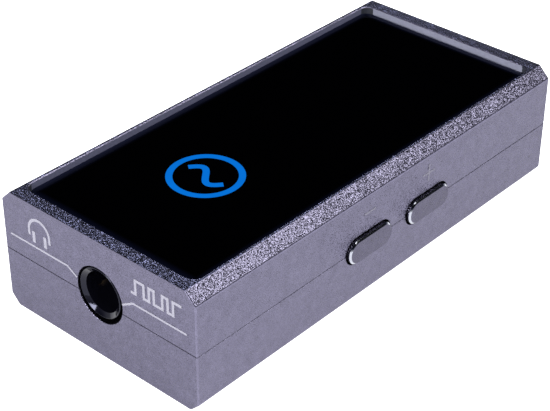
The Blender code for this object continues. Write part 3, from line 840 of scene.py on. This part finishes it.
def make_cap(name):
    """A button cap with a blasted face and a cut and polished edge."""
    low, high = box_of(f"{name}_cap")
    centre = (buttons[name], split)
    flange = stadium(centre, high.y - low.y, high.z - low.z)
    length, tall = SLOT_LENGTH - 2 * SLOT_GAP, SLOT_HEIGHT - 2 * SLOT_GAP
    flange_outer = low.x + FLANGE_DEPTH
    bm = bmesh.new()
    sections = [(low.x, flange), (flange_outer, flange), (flange_outer, stadium(centre, length, tall))]
    chamfer = [(CAP_CHAMFER, 0), (CAP_EASE, CAP_CHAMFER - CAP_EASE), (0, CAP_CHAMFER + CAP_EASE / 2)]
    for back, inset in chamfer:
        sections.append((high.x - back, stadium(centre, length - 2 * inset, tall - 2 * inset)))
    faces = add_loft(bm, "X", sections)
    ends, plain_bands = 2, 3
    polished = faces[ends + plain_bands * len(flange):]
    for face in (faces[0], *polished):
        face.material_index = 1
    cap = link(f"{name}_cap_finished", bm)
    paint(cap, cap_metal, cut_metal)
    return finish(settle(cap, 20), None, f"{name}_button", [f"{name}_cap"])


def make_dome(name):
    """A snap dome between its plunger and the switch's floor, which moves with the button."""
    low, high = box_of(f"{name}_dome")
    radius = (high.y - low.y) / 2
    rise = high.x - low.x - DOME_SHEET
    shares = [i / DOME_STEPS for i in range(DOME_STEPS + 1)]
    outside = [(radius * share, high.x - rise * share**2) for share in shares]
    inside = [(out, along - DOME_SHEET) for out, along in reversed(outside)]
    dome = turned(f"{name}_snap_dome", "X", (0, buttons[name], split), outside + inside, 48)
    finish(settle(dome, 50), nickel, f"{name}_button", [f"{name}_dome"])
    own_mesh(dome)


# Headphone jack


def make_jack():
    """The jack's moulded body, with its round nose, its bore and a window for each spring."""
    front, back = jack_low.y, jack_high.y
    outline = rectangle(jack_low.x, jack_high.x, jack_low.z, jack_high.z)
    housing = prism("jack_body", "Y", JACK_BODY_Y, back, outline)
    rounding = 0.12
    round_edges(housing, rounding, 2)
    lip = arc((JACK_NOSE - rounding, front + rounding), rounding, -90, 0, 6)
    nose_end = JACK_BODY_Y + rounding + 0.01
    axis = (jack_x + JACK_SHIFT[0], 0, jack_z + JACK_SHIFT[1])
    nose = turned("jack_nose", "Y", axis, [(0, front), *lip, (JACK_NOSE, nose_end), (0, nose_end)], 96)
    soft = 0.04
    mouth = arc((JACK_MOUTH + soft, front + soft), soft, -90, -140, 4)
    bore = [(0, front - 1), (JACK_MOUTH + soft, front - 1), *mouth]
    bore += [(JACK_THROAT, front + JACK_MOUTH_DEPTH), (JACK_BORE, front + 4 * JACK_MOUTH_DEPTH)]
    bore += [(JACK_BORE, back + 1), (0, back + 1)]
    hollow = turned("jack_bore_cut", "Y", axis, bore, 96)
    join(housing, nose)
    carve(housing, hollow)
    for spring in ("jack_tip_spring", "jack_ring_spring", "jack_sleeve_spring"):
        spring_low, spring_high = box_of(spring)
        side = math.copysign(1, middle(spring).x - jack_x)
        reach = sorted((jack_x + 1.2 * side, jack_x + 3.6 * side))
        window = rectangle(*reach, spring_low.y - 0.2, spring_high.y + 0.2)
        carve(housing, prism(f"{spring}_cut", "Z", jack_low.z - 1, spring_high.z + 0.15, window))
    finish(settle(housing, 30), jack_plastic, replaced=["jack_housing"])


# USB socket


def make_usb_socket():
    """The socket's formed shell, and the contact pads on its tongue."""
    width, tall = usb_high.x - usb_low.x, usb_high.z - usb_low.z

    def section(y, inset):
        return y, stadium((0, split), width - 2 * inset, tall - 2 * inset)

    outer = [section(usb_low.y, 0)]
    for degrees in range(0, 91, 30):
        turn = math.radians(degrees)
        outer.append(section(usb_high.y - USB_FOLD * (1 - math.sin(turn)), USB_FOLD * (1 - math.cos(turn))))
    shell = loft("usb_shell_formed", "Y", outer)
    mouth = [section(usb_low.y - 1, USB_SHEET), section(usb_high.y - USB_FOLD, USB_SHEET)]
    mouth.append(section(usb_high.y + 0.2, USB_SHEET - 0.18))
    carve(shell, loft("usb_shell_cut", "Y", mouth))
    finish(settle(shell, 30), nickel, replaced=["usb_socket_shell"])
    tongue_end = box_of("usb_socket_tongue")[1].y
    pad_half, pad_length, pad_rise = 0.12, 3.0, 0.02
    bm = bmesh.new()
    for side in (-1, 1):
        for number in range(USB_PADS):
            x = (number - (USB_PADS - 1) / 2) * USB_PAD_PITCH
            near = tongue_end - (0.45 if number in USB_LONG_PADS else 0.8)
            outline = rectangle(x - pad_half, x + pad_half, near - pad_length, near)
            z = split + side * USB_TONGUE_HALF
            add_loft(bm, "Z", [(z - pad_rise, outline), (z + pad_rise, outline)])
    finish(link("usb_contact_pads", bm), gold)


# Screws in the underside


def make_screw(name):
    """A countersunk screw with a six-lobed socket. Its thread is drawn as rings."""
    low, high = box_of(name)
    centre = middle(name)
    head = (high.x - low.x) / 2
    profile = [(0, low.z), (head - 0.04, low.z), (head, low.z + 0.03), (SCREW_SHANK, SCREW_CONE_TOP - 0.05)]
    along = SCREW_CONE_TOP + 0.4
    while along < high.z - 0.6:
        profile += [(SCREW_SHANK, along), (SCREW_SHANK - THREAD_DEPTH, along + SCREW_PITCH / 2)]
        along += SCREW_PITCH
    profile += [(SCREW_SHANK, along), (SCREW_SHANK - 0.3, high.z), (0, high.z)]
    sides = 48
    screw = turned(f"{name}_turned", "Z", (centre.x, centre.y, 0), profile, sides)
    lobes = []
    for i in range(sides):
        angle = 2 * math.pi * i / sides
        radius = 0.58 + 0.09 * math.cos(6 * angle)
        lobes.append((centre.x + radius * math.cos(angle), centre.y + radius * math.sin(angle)))
    carve(screw, prism(f"{name}_socket", "Z", -1, low.z + 0.5, lobes))
    finish(settle(screw, 30), nickel, replaced=[name])


NODE_MATERIALS = {
    "glass_gasket": foam,
    "light_guide": clear_acrylic,
    "optical_lens": clear_acrylic,
    "circuit_board": solder_mask("green solder mask"),
    "optical_emitter": black_plastic,
    "usb_socket_tongue": black_plastic,
    "jack_tip_spring": gold,
    "jack_ring_spring": gold,
    "jack_sleeve_spring": gold,
    "dac_chip": chip_epoxy,
    "headphone_amplifier_chip": chip_epoxy,
    "usb_bridge_chip": chip_epoxy,
    "usb_surge_protector": chip_epoxy,
    "regulator_analog": chip_epoxy,
    "regulator_digital": chip_epoxy,
    "clock_oscillator_44k": nickel,
    "clock_oscillator_48k": nickel,
    "power_inductor": ferrite,
    "output_capacitor_left": ochre_epoxy,
    "output_capacitor_right": ochre_epoxy,
    "supply_capacitor_analog": ochre_epoxy,
    "supply_capacitor_digital": ochre_epoxy,
    "symbol_led": led_resin,
    "thermal_pad": gap_pad,
}
for button in buttons:
    NODE_MATERIALS[f"{button}_switch"] = black_plastic
    NODE_MATERIALS[f"{button}_plunger"] = black_plastic

for node, material in NODE_MATERIALS.items():
    mesh = frame["nodes"][node].data
    mesh.materials.clear()
    mesh.materials.append(material)


def clear_helpers():
    """Removes the objects that only served as cutters."""
    for obj in list(bpy.data.objects):
        if obj.type == "MESH" and obj.hide_render and "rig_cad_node" not in obj:
            bpy.data.objects.remove(obj, do_unlink=True)


cutters, holes = wall_openings(), screw_cuts()
make_lower_shell(cutters, holes)
make_upper_shell(cutters, holes)
make_cover_glass()
make_symbol()
make_headphones_print()
make_pulse_print()
make_guide_lines()
make_button_marks()
for button in buttons:
    make_cap(button)
    make_dome(button)
make_jack()
make_usb_socket()
for node in screws:
    make_screw(node)
clear_helpers()

# Studio. Lengths here are in metres.

# Colours of the sky by height, as a share of the way from the horizon to straight up
WORLD_STOPS = (
    (0.0, (1, 1, 1)),
    (0.06, (0.8, 0.8, 0.85)),
    (0.22, (0.05, 0.06, 0.1)),
    (0.4, (0.002, 0.003, 0.006)),
)
BRIGHT_SIDE = (-0.62, -0.78, 0)  # the sweep reaches higher on this side
CAMERA_TARGET = (-2.118, 0.072, 2.188)  # in millimetres
CAMERA_DISTANCE = 0.14908
CAMERA_AZIMUTH, CAMERA_ELEVATION, CAMERA_ROLL = 41.58, 33.71, 0.25
LENS = 103.18909  # in millimetres
SENSOR_WIDTH = 36.0  # in millimetres


def make_floor():
    """A plain white floor, lit evenly enough to look like a white page."""
    bm = bmesh.new()
    bmesh.ops.create_grid(bm, x_segments=8, y_segments=8, size=6.0)
    floor = link("studio_floor", bm)
    nodes = Nodes("white studio floor")
    tint = nodes.noise(400.0, 2.0, 0.5)
    nodes.feed("Base Color", nodes.ramp(tint, [(0.3, (0.48, 0.48, 0.49)), (0.7, (0.5, 0.5, 0.5))]))
    nodes.set(roughness=0.7, emission_color=(1, 1, 1, 1), emission_strength=1.5)
    floor.data.materials.append(nodes.material)


def make_world():
    """Dark overhead, pale at the horizon, like a studio with a white sweep all round."""
    world = bpy.data.worlds.new("studio")
    world.use_nodes = True
    tree = world.node_tree
    coordinates = tree.nodes.new("ShaderNodeTexCoord")
    split_axes = tree.nodes.new("ShaderNodeSeparateXYZ")
    ramp = tree.nodes.new("ShaderNodeValToRGB")
    while len(ramp.color_ramp.elements) < len(WORLD_STOPS):
        ramp.color_ramp.elements.new(0.5)
    for element, (position, colour) in zip(ramp.color_ramp.elements, WORLD_STOPS):
        element.position = position
        element.color = (*colour, 1)
    towards = tree.nodes.new("ShaderNodeVectorMath")
    towards.operation = "DOT_PRODUCT"
    towards.inputs[1].default_value = BRIGHT_SIDE
    lift = tree.nodes.new("ShaderNodeMapRange")
    for key, value in {"From Min": 0.5, "From Max": 0.95, "To Min": 0, "To Max": 0.15}.items():
        lift.inputs[key].default_value = value
    lowered = tree.nodes.new("ShaderNodeMath")
    lowered.operation = "SUBTRACT"
    tree.links.new(coordinates.outputs["Generated"], split_axes.inputs[0])
    tree.links.new(coordinates.outputs["Generated"], towards.inputs[0])
    tree.links.new(towards.outputs["Value"], lift.inputs["Value"])
    tree.links.new(split_axes.outputs["Z"], lowered.inputs[0])
    tree.links.new(lift.outputs["Result"], lowered.inputs[1])
    tree.links.new(lowered.outputs["Value"], ramp.inputs["Fac"])
    tree.links.new(ramp.outputs["Color"], tree.nodes["Background"].inputs["Color"])
    bpy.context.scene.world = world


def make_softbox(name, direction, distance, size, power, colour=(1, 1, 1)):
    """A square area light that faces the object from a direction."""
    light = bpy.data.lights.new(name, "AREA")
    light.shape = "RECTANGLE"
    light.size, light.size_y = size
    light.energy = power
    light.color = colour
    lamp = bpy.data.objects.new(name, light)
    bpy.context.scene.collection.objects.link(lamp)
    towards = Vector(direction).normalized()
    lamp.location = towards * distance
    lamp.rotation_mode = "QUATERNION"
    lamp.rotation_quaternion = towards.to_track_quat("Z", "Y")


def make_camera():
    """Looks down on the jack end and the button side, from the right."""
    azimuth, elevation = math.radians(CAMERA_AZIMUTH), math.radians(CAMERA_ELEVATION)
    camera = bpy.data.cameras.new("camera")
    camera.sensor_width = SENSOR_WIDTH
    camera.lens = LENS
    camera.clip_start = 0.01
    camera.clip_end = 20.0
    rig = bpy.data.objects.new("camera", camera)
    bpy.context.scene.collection.objects.link(rig)
    flat = math.cos(elevation)
    back = Vector((math.sin(azimuth) * flat, -math.cos(azimuth) * flat, math.sin(elevation)))
    rig.location = Vector(CAMERA_TARGET) * MM + back * CAMERA_DISTANCE
    rig.rotation_mode = "QUATERNION"
    roll = Matrix.Rotation(math.radians(CAMERA_ROLL), 3, "Z").to_quaternion()
    rig.rotation_quaternion = back.to_track_quat("Z", "Y") @ roll
    bpy.context.scene.camera = rig


make_floor()
make_world()
make_softbox("right_softbox", (0.45, 0.33, 0.83), 0.6, (0.42, 0.42), 5.0, (1.0, 1.0, 0.95))
make_softbox("front_softbox", (0.0, -0.89, 0.45), 0.6, (0.25, 0.2), 5.2)
make_softbox("overhead_softbox", (-0.38, 0.42, 0.82), 0.6, (0.14, 0.14), 0.78, (0.76, 0.85, 1.0))
make_camera()
bpy.context.scene.view_settings.view_transform = "Standard"
